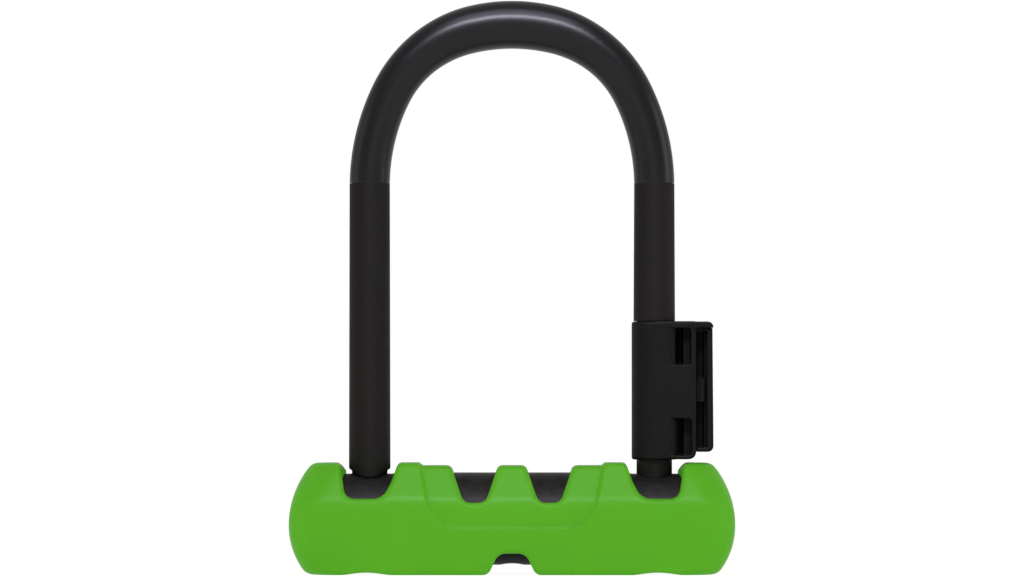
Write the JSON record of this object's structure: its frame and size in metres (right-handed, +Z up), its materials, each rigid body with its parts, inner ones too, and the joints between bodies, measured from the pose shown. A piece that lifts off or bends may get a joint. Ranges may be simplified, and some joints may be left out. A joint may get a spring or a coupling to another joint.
{
  "type": "u lock",
  "caption": "Short bicycle U-lock: coated shackle in a green-covered crossbar with a keyhole underneath and a black bracket carrier on one leg.",
  "frame": {"origin": "under the middle of the crossbar, on the surface it stands on", "axes": "+X along the crossbar towards the leg with the carrier, +Y away from the viewer, +Z up along the legs to the crown"},
  "size_m": [0.1504, 0.0368, 0.1934],
  "materials": {
    "hardened_bar": "thin black coat on a hardened steel bar, satin",
    "crown_padding": "soft vinyl padding, satin",
    "leg_coat": "dipped vinyl sleeve, matte",
    "cover_green": "soft-touch moulded plastic, green",
    "tube_steel": "black coated steel tube, satin",
    "bare_steel": "zinc plated or ground steel",
    "die_cast": "die-cast metal, as cast",
    "brass": "turned brass",
    "guide_plastic": "acetal guide ring, black",
    "carrier_plastic": "fine-grained nylon, black",
    "carrier_rubber": "rubber liner",
    "black_screw": "blackened steel screw"
  },
  "bodies": {
    "crossbar": {"crossbar_tube": "tube_steel", "crossbar_cover": "cover_green", "left_end_plug": "bare_steel", "right_end_plug": "bare_steel", "left_leg_bushing": "guide_plastic", "right_leg_bushing": "guide_plastic", "housing_base": "die_cast", "housing_lid": "die_cast", "housing_screws": "bare_steel", "housing_pins": "bare_steel", "cylinder_shell": "brass"},
    "shackle": {"shackle": "hardened_bar", "crown_sleeve": "crown_padding", "left_leg_sleeve": "leg_coat", "right_leg_sleeve": "leg_coat", "carrier_shell": "carrier_plastic", "carrier_rail": "carrier_plastic", "carrier_screws": "black_screw", "carrier_liner": "carrier_rubber"},
    "lock_plug": {"cylinder_plug": "bare_steel", "plug_driver": "bare_steel", "drill_disc": "bare_steel", "detainer_discs": "brass", "sidebar": "bare_steel", "plug_clip": "bare_steel", "drive_cam": "bare_steel", "cam_pins": "bare_steel"},
    "left_bolt": {"left_bolt": "bare_steel"},
    "right_bolt": {"right_bolt": "bare_steel"}
  },
  "joints": [
    {"name": "shackle_lift", "type": "slide", "parent": "crossbar", "child": "shackle", "axis": [0, 0, 1], "range_m": [0, 0.032]},
    {"name": "plug_turn", "type": "hinge", "parent": "crossbar", "child": "lock_plug", "pos_m": [0, 0, 0.0135], "axis": [0, 0, 1], "range_deg": [0, 90]},
    {"name": "right_bolt_slide", "type": "slide", "parent": "crossbar", "child": "right_bolt", "axis": [1, 0, 0], "range_m": [0, 0.005]},
    {"name": "left_bolt_slide", "type": "slide", "parent": "crossbar", "child": "left_bolt", "axis": [-1, 0, 0], "range_m": [0, 0.005]}
  ],
  "couplings": [
    {"joint": "plug_turn", "follows": "right_bolt_slide", "rad_per_m": 314.16},
    {"joint": "left_bolt_slide", "follows": "right_bolt_slide", "ratio": 1}
  ]
}
